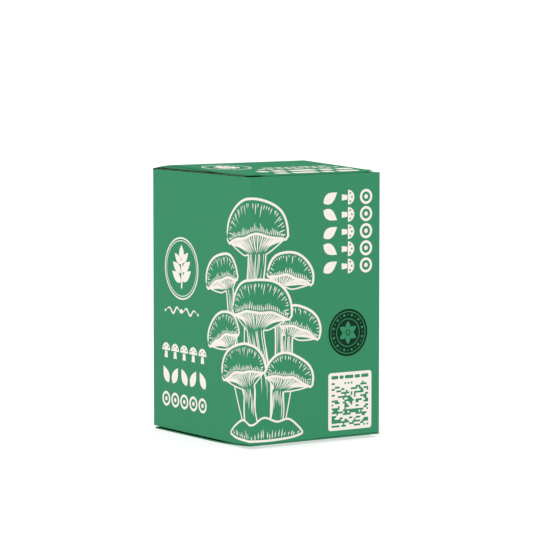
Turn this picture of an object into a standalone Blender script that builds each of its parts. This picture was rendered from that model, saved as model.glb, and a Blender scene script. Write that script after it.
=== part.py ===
"""Boxed mushroom grow kit: a folded board carton with a tuck closure at each end, and a bagged block in it.

The front panel faces -Y, +Z is up, and the origin is under the middle of the carton, on the surface that
it stands on. The carton is one creased blank. Each panel that folds is its own object, because it moves.
"""

from math import cos, pi, radians, sin

import bmesh
import bpy
from mathutils import Matrix, Vector

MM = 0.001

# Carton
CARTON_WIDTH = 119 * MM  # front and back panels, along X
CARTON_DEPTH = 136 * MM  # side panels, along Y
WALL_HEIGHT = 200 * MM
BOARD = 1.0 * MM
GAP = 0.3 * MM  # between pieces that touch
CREASE_RADIUS = 1.1 * MM  # outside of the upright creases
SEAM_TAB_WIDTH = 16 * MM  # glued inside the side panel, behind the back left crease

# Top closure: hinged on the back panel, tucked in behind the front panel
LID_CREST_RISE = 4.5 * MM  # the lid is bowed: its highest line over the walls' top edge
LID_CREST_BACK = 35 * MM  # from the back panel's outer face to that line
LID_HINGE_RISE = 0.2 * MM
LID_TUCK_RISE = 0.6 * MM
LID_SPRING = 1.66  # how early the bow rises from the hinge: 1 is straight, 2 is a parabola
LID_SIDE_CLEARANCE = 0.2 * MM
SHOULDER_LENGTH = 17.5 * MM  # each end of the tuck crease is slit this far, so the corner stands up
SHOULDER_GAP_LEFT = 0.95 * MM
SHOULDER_GAP_RIGHT = 0.3 * MM
LID_CORNER_LEFT = 2.5 * MM
LID_CORNER_RIGHT = 9 * MM  # cut off straight

# Bottom closure: hinged on the front panel, tucked in behind the back panel
BASE_SAG = 2.4 * MM  # the base panel hangs this far under the walls' lower edge
BASE_CURVE = 58 * MM  # from the front panel to where the base panel lies flat
BASE_CORNER_RADIUS = 2 * MM

TONGUE_HEIGHT = 23 * MM
TONGUE_WIDTH = 112 * MM
TONGUE_CORNER = 12 * MM
TONGUE_LEAN = radians(8)  # the top tongue leans away from the front panel

FLAP_LENGTH = 40 * MM
FLAP_FRONT_SETBACK = 8 * MM
FLAP_TIP_CORNER = 5 * MM
FLAP_TAPER_START = 5 * MM  # from the lid's hinge, at the flap's crease
FLAP_TAPER_END = 34 * MM  # from the lid's hinge, at the flap's free edge
FLAP_CREASE_RISE = 0.475 * MM  # the axis of a top flap's crease over the side wall
FLAP_LEVEL_TO = -12 * MM  # a top flap lies level up to here, and then follows the lid's bow
BEAD_GAP = 1.25 * MM  # the top flaps' creases spring up this far over the side walls
BEAD_WIDTH = 1.7 * MM
BEAD_MIN_HEIGHT = 0.25 * MM
BEAD_WEB = 0.55 * MM  # joins the bead to the flap, inside the side wall
BASE_BEAD_INSET = 3.5 * MM  # the bottom flaps bulge down beside their creases, this far in
BASE_BEAD_WIDTH = 1.8 * MM

# Contents
BLOCK_WIDTH = 110 * MM
BLOCK_DEPTH = 126 * MM
BLOCK_HEIGHT = 158 * MM
BLOCK_EDGE = 9 * MM
FILM = 0.4 * MM
FOLD_WIDTH = 104 * MM
FOLD_DEPTH = 92 * MM
FOLD_HEIGHT = 5 * MM
ROLL_DEPTH = 24 * MM
ROLL_HEIGHT = 5 * MM
PATCH_SIZE = 42 * MM
PATCH_THICKNESS = 0.6 * MM

# Worked out from the sizes above
HALF_WIDTH = CARTON_WIDTH / 2
HALF_DEPTH = CARTON_DEPTH / 2
WALLS_BOTTOM = BASE_SAG
WALLS_TOP = BASE_SAG + WALL_HEIGHT
LID_HALF_WIDTH = HALF_WIDTH - LID_SIDE_CLEARANCE
TUCK_Y = HALF_DEPTH - BOARD - GAP  # a tuck crease's distance from the middle
FLAP_CREASE_X = HALF_WIDTH - BOARD - GAP
BASE_FLAP_Z = WALLS_BOTTOM + 0.7 * BOARD
BLOCK_BOTTOM = BASE_FLAP_Z + BOARD + 2 * GAP + FILM
BLOCK_TOP = BLOCK_BOTTOM + BLOCK_HEIGHT

KIT = bpy.data.collections.new("Boxed mushroom grow kit")
CUTTERS = bpy.data.collections.new("Cutters")


def clear_scene():
    for obj in list(bpy.data.objects):
        bpy.data.objects.remove(obj, do_unlink=True)
    for collection in (KIT, CUTTERS):
        bpy.context.scene.collection.children.link(collection)


def finish_material(name, colour, roughness):
    material = bpy.data.materials.new(name)
    material.use_nodes = True
    shader = material.node_tree.nodes["Principled BSDF"]
    shader.inputs["Base Color"].default_value = (*colour, 1.0)
    shader.inputs["Roughness"].default_value = roughness
    shader.inputs["Metallic"].default_value = 0.0
    return material


def arc(centre, radius, start, end, steps=6):
    """Points of an arc in a plane, between two angles in degrees."""
    angles = [radians(start + (end - start) * i / steps) for i in range(steps + 1)]
    return [(centre[0] + radius * cos(a), centre[1] + radius * sin(a)) for a in angles]


def rounded_rectangle(half_a, half_b, radius, steps=4):
    points = []
    for sign_a, sign_b, start in ((1, 1, 0), (-1, 1, 90), (-1, -1, 180), (1, -1, 270)):
        centre = (sign_a * (half_a - radius), sign_b * (half_b - radius))
        points += arc(centre, radius, start, start + 90, steps)
    return points


def solid_outline(name, loops, thickness, turn=None, middle=(0, 0, 0)):
    """A flat outline, with any holes, given its thickness either side of its plane, as a mesh object.

    The outline lies in X and Y unless turn stands it up. middle is where its plane's origin goes.
    """
    curve = bpy.data.curves.new(name, "CURVE")
    curve.dimensions = "2D"
    curve.fill_mode = "BOTH"
    curve.extrude = thickness / 2
    for loop in loops:
        spline = curve.splines.new("POLY")
        spline.points.add(len(loop) - 1)
        for point, (a, b) in zip(spline.points, loop):
            point.co = (a, b, 0, 1)
        spline.use_cyclic_u = True
    guide = bpy.data.objects.new(name, curve)
    KIT.objects.link(guide)
    evaluated = guide.evaluated_get(bpy.context.evaluated_depsgraph_get())
    mesh = bpy.data.meshes.new_from_object(evaluated)
    bpy.data.objects.remove(guide, do_unlink=True)
    bpy.data.curves.remove(curve)
    mesh.name = name
    mesh.materials.clear()
    shape = bmesh.new()
    shape.from_mesh(mesh)
    bmesh.ops.remove_doubles(shape, verts=shape.verts, dist=1e-6)
    bmesh.ops.recalc_face_normals(shape, faces=shape.faces)
    shape.transform(Matrix.Translation(middle) @ (turn or Matrix()))
    shape.to_mesh(mesh)
    shape.free()
    obj = bpy.data.objects.new(name, mesh)
    KIT.objects.link(obj)
    return obj


def across_width():
    """Stands an outline up: its first axis runs along Y, its second along Z and its thickness along X."""
    return Matrix(((0, 0, 1, 0), (1, 0, 0, 0), (0, 1, 0, 0), (0, 0, 0, 1)))


def facing_front():
    """Stands an outline up so that its first axis runs along X and its second along Z."""
    return Matrix.Rotation(pi / 2, 4, "X")


def set_aside(cutter):
    KIT.objects.unlink(cutter)
    CUTTERS.objects.link(cutter)
    cutter.hide_render = True
    cutter.display_type = "WIRE"


def boolean(target, other, operation):
    modifier = target.modifiers.new(f"{operation.title()} {other.name}", "BOOLEAN")
    modifier.operation = operation
    modifier.object = other
    set_aside(other)


def move_origin(obj, origin):
    obj.data.transform(Matrix.Translation(-Vector(origin)))
    obj.location = origin


def smoothstep(value):
    value = min(max(value, 0.0), 1.0)
    return value * value * (3 - 2 * value)


def lid_rise(y):
    """Height of the lid's outer face over the walls' top edge: bowed from the hinge, straight to the tuck."""
    from_hinge = HALF_DEPTH - y
    if from_hinge < LID_CREST_BACK:
        part = from_hinge / LID_CREST_BACK
        bow = LID_SPRING * part - (LID_SPRING - 1) * part * part
        return LID_HINGE_RISE + (LID_CREST_RISE - LID_HINGE_RISE) * bow
    part = (from_hinge - LID_CREST_BACK) / (HALF_DEPTH + TUCK_Y - LID_CREST_BACK)
    return LID_CREST_RISE + (LID_TUCK_RISE - LID_CREST_RISE) * part


def lid_height(x, y):
    """The lid's outer face, with the corners beside the slits lifted clear of the side walls."""
    rise = lid_rise(y)
    if y > 0:
        return WALLS_TOP + rise
    clear = BOARD + (SHOULDER_GAP_LEFT if x < 0 else SHOULDER_GAP_RIGHT)
    crease_end = HALF_WIDTH - SHOULDER_LENGTH
    lifted = smoothstep((abs(x) - crease_end) / (0.5 * SHOULDER_LENGTH))
    return WALLS_TOP + rise + lifted * max(clear - rise, 0)


def base_drop(y):
    """How far the base panel's outer face hangs under the walls' lower edge."""
    from_front = min((HALF_DEPTH + y) / BASE_CURVE, 1.0)
    return BASE_SAG * (1 - (1 - from_front) ** 2)


def even_steps(start, end, count):
    return [start + (end - start) * i / count for i in range(count + 1)]


def bowed_panel(name, columns, rows, height, corners, corners_at_front, material):
    """A sheet through height(x, y) at the given columns and rows, made as thick as the board, inwards.

    The sheet is cut to its width, and to its left and right corners at its free end, by its plan. A corner
    is its radius and the steps of its arc.
    """
    spare = 1 * MM
    half = columns[-1]
    hinge_y, free_y = (rows[-1], rows[0]) if corners_at_front else (rows[0], rows[-1])
    columns = [columns[0] - spare] + columns[1:-1] + [columns[-1] + spare]
    if corners_at_front:
        rows = [rows[0] - spare] + rows[1:]
    else:
        rows = rows[:-1] + [rows[-1] + spare]
    shape = bmesh.new()
    bmesh.ops.create_grid(
        shape, x_segments=len(columns) - 1, y_segments=len(rows) - 1, size=0.5
    )
    for vertex in shape.verts:
        column = round((vertex.co.x + 0.5) * (len(columns) - 1))
        row = round((vertex.co.y + 0.5) * (len(rows) - 1))
        x, y = columns[column], rows[row]
        vertex.co = (x, y, height(x, y))
    mesh = bpy.data.meshes.new(name)
    shape.to_mesh(mesh)
    shape.free()
    panel = bpy.data.objects.new(name, mesh)
    KIT.objects.link(panel)
    thickness = panel.modifiers.new("Board", "SOLIDIFY")
    thickness.thickness = BOARD
    thickness.offset = -1 if corners_at_front else 1
    inward = 1 if hinge_y > free_y else -1
    beyond = hinge_y + inward * 5 * MM
    outline = [(half, beyond), (-half, beyond)]
    start = 180
    for sign, (radius, steps) in zip((-1, 1), corners):
        centre = (sign * (half - radius), free_y + inward * radius)
        turn = 90 * inward
        outline += arc(centre, radius, start, start + turn, steps)
        start += turn
    middle = (0, 0, height(0, 0))
    plan = solid_outline(f"{name} plan", [outline], 40 * MM, middle=middle)
    boolean(panel, plan, "INTERSECT")
    panel.data.materials.append(material)
    return panel


def sleeve(material):
    """The four walls and the glued seam tab. A panel that carries a closure ends where that fold begins."""
    outer = rounded_rectangle(HALF_WIDTH, HALF_DEPTH, CREASE_RADIUS)
    inner = rounded_rectangle(
        HALF_WIDTH - BOARD, HALF_DEPTH - BOARD, CREASE_RADIUS - 0.8 * BOARD
    )
    middle = (0, 0, (WALLS_TOP + WALLS_BOTTOM) / 2)
    walls = solid_outline("carton_sleeve", [outer, inner], WALL_HEIGHT, middle=middle)
    walls.data.materials.append(material)

    tab_overlap = 0.4 * BOARD
    tab_x = -HALF_WIDTH + 1.5 * BOARD - tab_overlap / 2
    tab_y = HALF_DEPTH - BOARD - SEAM_TAB_WIDTH
    tab_low = WALLS_BOTTOM + 6 * MM
    tab_high = WALLS_TOP - 6 * MM
    tab = solid_outline(
        "Seam tab",
        [
            [
                (HALF_DEPTH - 0.5 * BOARD, tab_low),
                (HALF_DEPTH - 0.5 * BOARD, tab_high),
                (tab_y, tab_high - 8 * MM),
                (tab_y, tab_low + 8 * MM),
            ]
        ],
        BOARD + tab_overlap,
        turn=across_width(),
        middle=(tab_x, 0, 0),
    )
    boolean(walls, tab, "UNION")

    lid_fold = WALLS_TOP + LID_HINGE_RISE - BOARD - GAP
    base_fold = WALLS_BOTTOM + BOARD + GAP
    beyond = HALF_DEPTH + 2 * MM
    lid_relief = 6 * MM
    base_relief = 20 * MM
    cuts = {
        "Lid fold relief": [
            (HALF_DEPTH, lid_fold),
            (beyond, lid_fold),
            (beyond, WALLS_TOP + 2 * MM),
            (HALF_DEPTH - lid_relief, WALLS_TOP + 2 * MM),
            (HALF_DEPTH - lid_relief, WALLS_TOP),
        ],
        "Base fold relief": [
            (-HALF_DEPTH, base_fold),
            (-beyond, base_fold),
            (-beyond, WALLS_BOTTOM - 2 * MM),
            (-HALF_DEPTH + base_relief, WALLS_BOTTOM - 2 * MM),
            (-HALF_DEPTH + base_relief, WALLS_BOTTOM),
        ],
    }
    for name, outline in cuts.items():
        cutter = solid_outline(
            name, [outline], CARTON_WIDTH + 4 * MM, turn=across_width()
        )
        boolean(walls, cutter, "DIFFERENCE")
    # The relief slopes along the side panels, and the folding panel itself is cut level all over.
    for name, y, level, side in (
        ("Lid fold edge", HALF_DEPTH, lid_fold, 1),
        ("Base fold edge", -HALF_DEPTH, base_fold, -1),
    ):
        outline = [
            (y - side * 1.3 * BOARD, level),
            (y + side * 2 * MM, level),
            (y + side * 2 * MM, level + side * 4 * MM),
            (y - side * 1.3 * BOARD, level + side * 4 * MM),
        ]
        cutter = solid_outline(
            name, [outline], CARTON_WIDTH + 4 * MM, turn=across_width()
        )
        boolean(walls, cutter, "DIFFERENCE")
    return walls


def lid(material):
    crest = HALF_DEPTH - LID_CREST_BACK
    rows = (
        even_steps(-TUCK_Y, -40 * MM, 3)
        + even_steps(-20 * MM, crest, 3)
        + even_steps(crest, HALF_DEPTH, 9)[1:]
    )
    crease_end = HALF_WIDTH - SHOULDER_LENGTH
    shoulder = even_steps(crease_end, crease_end + 0.5 * SHOULDER_LENGTH, 4)
    half = shoulder + [LID_HALF_WIDTH]
    columns = [-x for x in reversed(half)] + [0.0] + half
    corners = ((LID_CORNER_LEFT, 4), (LID_CORNER_RIGHT, 1))
    panel = bowed_panel("top_lid", columns, rows, lid_height, corners, True, material)
    move_origin(
        panel,
        (
            0,
            HALF_DEPTH + 0.5 * GAP,
            WALLS_TOP + LID_HINGE_RISE - BOARD - 0.5 * GAP,
        ),
    )
    return panel


def base(material):
    flat_from = -HALF_DEPTH + BASE_CURVE
    rows = even_steps(-HALF_DEPTH, flat_from, 10) + [TUCK_Y]
    half = [0.5 * HALF_WIDTH, LID_HALF_WIDTH]
    columns = [-x for x in reversed(half)] + [0.0] + half
    return bowed_panel(
        "bottom_lid",
        columns,
        rows,
        lambda x, y: WALLS_BOTTOM - base_drop(y),
        ((BASE_CORNER_RADIUS, 4), (BASE_CORNER_RADIUS, 4)),
        False,
        material,
    )


def tongue(name, y, fold_z, direction, lean, material):
    """A tuck tongue that starts at its fold and reaches down (-1) or up (1) into the carton."""
    half = TONGUE_WIDTH / 2
    reach = TONGUE_HEIGHT - TONGUE_CORNER
    outline = [(-half, 0), (half, 0)]
    outline += arc((half - TONGUE_CORNER, reach), TONGUE_CORNER, 0, 90)
    outline += arc((TONGUE_CORNER - half, reach), TONGUE_CORNER, 90, 180)
    outline = [(a, direction * b) for a, b in outline]
    inward = -1 if y > 0 else 1
    plate = solid_outline(
        name,
        [outline],
        BOARD,
        turn=facing_front(),
        middle=(0, inward * 0.5 * BOARD, 0),
    )
    plate.data.transform(Matrix.Rotation(lean, 4, "X"))
    plate.location = (0, y, fold_z)
    plate.data.materials.append(material)
    return plate


def under_lid(y):
    """The height that a gap under the lid leaves."""
    return WALLS_TOP + lid_rise(y) - BOARD - GAP


def top_flap(name, side, material):
    """A dust flap that starts level and then follows the bowed lid. Its crease springs up over the wall."""
    front = -HALF_DEPTH + FLAP_FRONT_SETBACK
    back = HALF_DEPTH - FLAP_TAPER_START
    crest = HALF_DEPTH - LID_CREST_BACK
    slope = (LID_CREST_RISE - LID_TUCK_RISE) / (HALF_DEPTH + TUCK_Y - LID_CREST_BACK)
    level_from = -TUCK_Y + (BOARD + GAP - LID_TUCK_RISE) / slope
    behind = even_steps(crest, back, 6)
    upper = [(front, under_lid(front)), (level_from, WALLS_TOP), (FLAP_LEVEL_TO, WALLS_TOP)]
    upper += [(y, under_lid(y)) for y in behind]
    lower = [(y, z - BOARD) for y, z in reversed(upper)]
    inner_x = FLAP_CREASE_X - FLAP_LENGTH
    flap = solid_outline(
        name,
        [upper + lower],
        FLAP_LENGTH,
        turn=across_width(),
        middle=(side * (FLAP_CREASE_X + inner_x) / 2, 0, 0),
    )
    tip = FLAP_TIP_CORNER
    taper_end = HALF_DEPTH - FLAP_TAPER_END
    plan = [
        (FLAP_CREASE_X + 1 * MM, front - 1 * MM),
        (FLAP_CREASE_X + 1 * MM, back),
        (FLAP_CREASE_X, back),
        (inner_x, taper_end),
        (inner_x, front + tip),
        (inner_x + tip, front),
        (inner_x + tip, front - 1 * MM),
    ]
    plan = [(side * x, y) for x, y in plan]
    middle = (0, 0, WALLS_TOP)
    boolean(
        flap,
        solid_outline(f"{name} plan", [plan], 30 * MM, middle=middle),
        "INTERSECT",
    )

    # A web rises from the flap just inside the side wall, and carries the bead out over the wall.
    low = WALLS_TOP + BEAD_GAP
    top_under_lid = 0.05 * MM
    start = -TUCK_Y + (BOARD + GAP + top_under_lid + BEAD_GAP + BEAD_MIN_HEIGHT - LID_TUCK_RISE) / slope
    end = next(y for y in reversed(even_steps(crest, back, 40)) if under_lid(y) > low + 2 * BEAD_MIN_HEIGHT)
    rows = [start] + even_steps(crest, end, 5)
    top = [(y, under_lid(y) - top_under_lid) for y in rows]
    web_foot = [(y, under_lid(y) - 0.6 * BOARD) for y in reversed(rows[1:])]
    web_foot += [(start, WALLS_TOP - 0.5 * BOARD)]
    web_x = LID_HALF_WIDTH - BEAD_WIDTH
    outer_width = BEAD_WIDTH - 0.2 * MM
    for part, outline, width, x in (
        ("web", top + web_foot, BEAD_WEB, web_x + BEAD_WEB / 2),
        ("bead", top + [(end, low), (start, low)], outer_width, LID_HALF_WIDTH - outer_width / 2),
    ):
        piece = solid_outline(
            f"{name} {part}", [outline], width, turn=across_width(), middle=(side * x, 0, 0)
        )
        boolean(flap, piece, "UNION")
    flap.data.materials.append(material)
    move_origin(flap, (side * HALF_WIDTH, 0, WALLS_TOP + FLAP_CREASE_RISE))
    return flap


def base_flap(name, side, material):
    """A dust flap over the base panel, pressed down on it beside its crease."""
    back = HALF_DEPTH - FLAP_FRONT_SETBACK
    front = -HALF_DEPTH + FLAP_TAPER_START
    inner_x = FLAP_CREASE_X - FLAP_LENGTH
    tip = FLAP_TIP_CORNER
    outline = [
        (FLAP_CREASE_X, front),
        (FLAP_CREASE_X, back),
        (inner_x + tip, back),
        (inner_x, back - tip),
        (inner_x, -HALF_DEPTH + FLAP_TAPER_END),
    ]
    outline = [(side * x, y) for x, y in outline]
    middle = (0, 0, BASE_FLAP_Z + 0.5 * BOARD)
    flap = solid_outline(name, [outline], BOARD, middle=middle)

    foot = [(y, WALLS_BOTTOM - base_drop(y) + BOARD + GAP) for y in even_steps(-50 * MM, -10 * MM, 4)]
    foot += [(back - 2 * MM, foot[-1][1])]
    head = BASE_FLAP_Z + 0.5 * BOARD
    bead = solid_outline(
        f"{name} bead",
        [foot + [(foot[-1][0], head), (foot[0][0], head)]],
        BASE_BEAD_WIDTH,
        turn=across_width(),
        middle=(side * (HALF_WIDTH - BASE_BEAD_INSET - BASE_BEAD_WIDTH / 2), 0, 0),
    )
    boolean(flap, bead, "UNION")
    flap.data.materials.append(material)
    return flap


def soft_box(name, size, middle, edge, segments, material):
    """A box with rounded edges, for the block and for the film that is folded on it."""
    shape = bmesh.new()
    bmesh.ops.create_cube(shape, size=1.0)
    bmesh.ops.scale(shape, vec=size, verts=shape.verts)
    bmesh.ops.translate(shape, vec=middle, verts=shape.verts)
    mesh = bpy.data.meshes.new(name)
    shape.to_mesh(mesh)
    shape.free()
    mesh.materials.append(material)
    obj = bpy.data.objects.new(name, mesh)
    KIT.objects.link(obj)
    rounding = obj.modifiers.new("Rounded edges", "BEVEL")
    rounding.width = edge
    rounding.segments = segments
    rounding.limit_method = "NONE"
    return obj


def film(material):
    """The bag's film round the sides and the bottom of the block, open at the top."""
    clear = GAP + FILM
    bag = soft_box(
        "bag_film",
        (BLOCK_WIDTH + 2 * clear, BLOCK_DEPTH + 2 * clear, BLOCK_HEIGHT + 2 * clear),
        (0, 0, BLOCK_BOTTOM + BLOCK_HEIGHT / 2),
        BLOCK_EDGE + clear,
        3,
        material,
    )
    hollow = soft_box(
        "Bag hollow",
        (BLOCK_WIDTH + 2 * GAP, BLOCK_DEPTH + 2 * GAP, BLOCK_HEIGHT + 2 * GAP),
        (0, 0, BLOCK_BOTTOM + BLOCK_HEIGHT / 2),
        BLOCK_EDGE + GAP,
        3,
        material,
    )
    boolean(bag, hollow, "DIFFERENCE")
    mouth = solid_outline(
        "Bag mouth",
        [rounded_rectangle(HALF_WIDTH, HALF_DEPTH, 2 * MM)],
        40 * MM,
        middle=(0, 0, BLOCK_TOP - BLOCK_EDGE + 20 * MM),
    )
    boolean(bag, mouth, "DIFFERENCE")
    return bag


def folded_neck(material):
    """The neck of the bag, folded flat on the block and rolled up once more along its middle."""
    low = BLOCK_TOP + GAP
    neck = soft_box(
        "bag_neck",
        (FOLD_WIDTH, FOLD_DEPTH, FOLD_HEIGHT),
        (0, 0, low + FOLD_HEIGHT / 2),
        2 * MM,
        2,
        material,
    )
    overlap = 2 * MM
    roll_top = low + FOLD_HEIGHT + ROLL_HEIGHT
    roll_height = ROLL_HEIGHT + overlap
    roll = soft_box(
        "Neck roll",
        (FOLD_WIDTH - 6 * MM, ROLL_DEPTH, roll_height),
        (0, 0, roll_top - roll_height / 2),
        3 * MM,
        2,
        material,
    )
    boolean(neck, roll, "UNION")
    return neck


def filter_patch(material):
    low = BLOCK_TOP + GAP + FOLD_HEIGHT + GAP
    y = -(ROLL_DEPTH + FOLD_DEPTH) / 4
    half_depth = (FOLD_DEPTH - ROLL_DEPTH) / 4 - 3 * MM
    outline = rounded_rectangle(PATCH_SIZE / 2, half_depth, 3 * MM)
    patch = solid_outline(
        "filter_patch",
        [outline],
        PATCH_THICKNESS,
        middle=(0, y, low + PATCH_THICKNESS / 2),
    )
    patch.data.materials.append(material)
    return patch


def main():
    clear_scene()
    board = finish_material("Printed green board", (0.054, 0.287, 0.144), 0.55)
    substrate = finish_material("Colonised substrate", (0.78, 0.72, 0.6), 0.9)
    clear_film = finish_material("Bag film", (0.86, 0.88, 0.88), 0.25)
    filter_paper = finish_material("Filter patch", (0.92, 0.92, 0.9), 0.9)

    sleeve(board)
    lid(board)
    top_fold_z = WALLS_TOP + LID_TUCK_RISE - BOARD - GAP
    base_fold_z = BOARD + GAP
    tongue("top_tuck_tongue", -TUCK_Y, top_fold_z, -1, TONGUE_LEAN, board)
    top_flap("top_dust_flap_left", -1, board)
    top_flap("top_dust_flap_right", 1, board)
    base(board)
    tongue("bottom_tuck_tongue", TUCK_Y, base_fold_z, 1, 0, board)
    base_flap("bottom_dust_flap_left", -1, board)
    base_flap("bottom_dust_flap_right", 1, board)

    soft_box(
        "substrate_block",
        (BLOCK_WIDTH, BLOCK_DEPTH, BLOCK_HEIGHT),
        (0, 0, BLOCK_BOTTOM + BLOCK_HEIGHT / 2),
        BLOCK_EDGE,
        3,
        substrate,
    )
    film(clear_film)
    folded_neck(clear_film)
    filter_patch(filter_paper)


main()
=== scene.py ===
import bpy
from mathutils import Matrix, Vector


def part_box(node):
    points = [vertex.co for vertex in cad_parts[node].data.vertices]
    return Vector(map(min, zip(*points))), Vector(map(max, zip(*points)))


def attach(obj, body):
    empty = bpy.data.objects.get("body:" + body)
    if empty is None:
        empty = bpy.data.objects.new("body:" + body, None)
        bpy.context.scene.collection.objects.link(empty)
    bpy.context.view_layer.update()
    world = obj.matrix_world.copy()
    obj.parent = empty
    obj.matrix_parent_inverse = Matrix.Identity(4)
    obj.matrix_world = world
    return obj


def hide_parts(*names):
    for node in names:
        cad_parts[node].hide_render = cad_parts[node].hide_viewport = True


bl_info = {
    "name": "Boxed mushroom grow kit",
    "version": (1, 0, 0),
    "blender": (4, 5, 0),
    "location": "3D View > Sidebar > Grow kit",
    "description": "Prints and finishes a tuck-end carton, and models the bagged substrate block inside it",
    "category": "Object",
}

from math import atan2, cos, hypot, pi, radians, sin
from random import Random

import bmesh
import bpy
from bpy.props import FloatProperty, FloatVectorProperty, IntProperty, PointerProperty
from mathutils import Matrix, Vector, noise
from mathutils.geometry import barycentric_transform, delaunay_2d_cdt

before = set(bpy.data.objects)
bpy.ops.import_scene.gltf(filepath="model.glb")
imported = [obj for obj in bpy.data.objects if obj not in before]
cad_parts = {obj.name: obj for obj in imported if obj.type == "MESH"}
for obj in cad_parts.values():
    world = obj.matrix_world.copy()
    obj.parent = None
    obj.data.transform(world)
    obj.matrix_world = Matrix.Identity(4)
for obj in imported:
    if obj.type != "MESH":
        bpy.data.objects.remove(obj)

MM = 0.001
PRINT_MAP = "OFBake"
BARE, EDGE, GREEN, CREAM, DARK = range(5)
MID_GREY = (0.5, 0.5, 0.5, 1.0)
WHITE = (1.0, 1.0, 1.0, 1.0)

SLEEVE_LOW, SLEEVE_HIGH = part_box("carton_sleeve")
HALF_WIDTH, HALF_DEPTH, WALLS_TOP = SLEEVE_HIGH
PLY = 0.6 * MM  # how deep the outer faces of the rounded walls reach
LID_AXIS = (0.06815, 0.20145)  # y and z of the lid's crease
BASE_FOLD_Z = 0.00355  # the height of the base panel's crease
SEAM_TAB_X, SEAM_TAB_Y = -57.4 * MM, 49 * MM  # how far in the glued tab stands, and where it starts

# Where a top flap bends: y, and how low and high the bent board goes over the side wall's top edge, in millimetres.
# The lid lies lower on the right, so the bend starts further back there.
FLAP_WEB_FRONT = {"left": ((-59.5, -0.9, 0.75), (-40.0, -0.9, 0.75)), "right": ((-36.0, -0.9, 0.66),)}
FLAP_WEB_ROWS = (
    (-12.0, -0.9, 1.15),
    (17.0, 1.05, 1.2),
    (46.0, 1.05, 1.2),
    (53.0, 0.5, 1.2),
    (57.5, -0.2, 0.78),
)
FLAP_WEB_INSETS = (1.27, 1.05, 0.25)  # its root, its bend inside the wall and its outer face, from the wall's face
WALL_ROLL_FRONT = {"left": -59.5 * MM, "right": -40.0 * MM}
WALL_ROLL_BACK = 60.5 * MM
WALL_ROLL_PLACE = 0.24 * MM  # in from the side wall's face, and up from its top edge


def colour_setting(name, description, default):
    return FloatVectorProperty(
        name=name, description=description, subtype="COLOR", size=3, min=0.0, max=1.0, default=default
    )


def length_setting(name, description, default, least=0.0):
    return FloatProperty(name=name, description=description, unit="LENGTH", min=least, default=default)


def two_length_settings(name, description, default, **limits):
    return FloatVectorProperty(name=name, description=description, unit="LENGTH", size=2, default=default, **limits)


def angle_setting(name, description, degrees):
    return FloatProperty(name=name, description=description, subtype="ANGLE", default=radians(degrees))


class PrintColours(bpy.types.PropertyGroup):
    """The inks, and the board that they are printed on."""

    green: colour_setting("Green", "Ink that covers the outside of the carton", (0.0385, 0.2345, 0.1153))
    cream: colour_setting("Cream", "Ink of the line drawing, the bands and the label", (0.832, 0.765, 0.713))
    # The dark green also paints shade: in the gaps under the lid and the walls, and at the top flaps' creases.
    dark: colour_setting("Dark green", "Ink of the round seal", (0.0036, 0.0285, 0.0124))
    # The cut-edge green also paints shade over the top flaps' creases.
    edge: colour_setting("Cut edge", "Board where it is cut, tinted by the ink", (0.026, 0.187, 0.084))
    bare: colour_setting("Bare board", "Unprinted inside of the carton", (0.74, 0.73, 0.70))


class ArtworkSizes(bpy.types.PropertyGroup):
    """Sizes of the printed artwork."""

    outline: length_setting("Outline", "Width of the pen lines round a cap", 0.0019, 0.0002)
    hatch: length_setting("Hatching", "Width of the finest pen lines", 0.0007, 0.0001)
    seal: length_setting("Seal", "Diameter of the round seal", 0.036, 0.01)
    emblem: length_setting("Emblem", "Diameter of the ringed leaf emblem", 0.048, 0.01)
    band: length_setting("Band", "Height of a band of ornament", 0.013, 0.004)
    label: two_length_settings("Label", "Width and height of the label panel", (0.040, 0.044), min=0.01)


class BagSizes(bpy.types.PropertyGroup):
    """Sizes of the block and of the bag round it."""

    film: length_setting("Film", "Thickness of the bag's film where it is folded", 0.0003, 0.0001)
    crinkle: length_setting("Crinkle", "Height of the creases in the film", 0.0011)
    lump: length_setting("Lump", "Height of the lumps on the block", 0.0012)
    seed: IntProperty(
        name="Seed", description="Which arrangement of creases and lumps is made", min=0, default=4
    )


class StageSizes(bpy.types.PropertyGroup):
    turn: angle_setting("Turn", "Camera's turn round the kit, from straight in front", -33.80)
    rise: angle_setting("Rise", "Camera's angle over the level", 5.143)
    distance: length_setting("Distance", "Camera's distance from what it looks at", 2.246)
    lens: FloatProperty(name="Lens", description="Focal length", unit="CAMERA", default=197.25)
    aim: two_length_settings(
        "Aim", "Right and up from the middle of the walls to what the camera looks at", (0.00094, 0.0260)
    )
    floor: length_setting("Floor", "Width of the floor", 40.0)


# ---------------------------------------------------------------- shader node groups


def new_group(name, outputs, **inputs):
    """A shader node group, its input sockets and its output node. Inputs have _ for a space."""
    number, vector, colour = "NodeSocketFloat", "NodeSocketVector", "NodeSocketColor"
    group = bpy.data.node_groups.new(name, "ShaderNodeTree")
    for socket, value in inputs.items():
        kind = {3: vector, 4: colour}[len(value)] if isinstance(value, tuple) else number
        item = group.interface.new_socket(socket.replace("_", " "), in_out="INPUT", socket_type=kind)
        item.default_value = value
    for socket in outputs:
        kind = {"Colour": colour, "Normal": vector}.get(socket, number)
        group.interface.new_socket(socket, in_out="OUTPUT", socket_type=kind)
    given = group.nodes.new("NodeGroupInput")
    return group, given.outputs, group.nodes.new("NodeGroupOutput")


def plug(tree, socket, value):
    """Sets an input, or joins it to another node's output."""
    if isinstance(value, bpy.types.NodeSocket):
        tree.links.new(value, socket)
    else:
        socket.default_value = value


def plug_named(tree, node, **values):
    """Plugs inputs by name, with _ for a space, or by number, as in _0."""
    for key, value in values.items():
        plug(tree, node.inputs[int(key[1:]) if key[0] == "_" else key.replace("_", " ")], value)


def wire(tree, kind, settings=None, **values):
    """A shader node with its settings, and its named inputs plugged."""
    node = tree.nodes.new("ShaderNode" + kind)
    for key, value in (settings or {}).items():
        setattr(node, key, value)
    plug_named(tree, node, **values)
    return node


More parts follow.
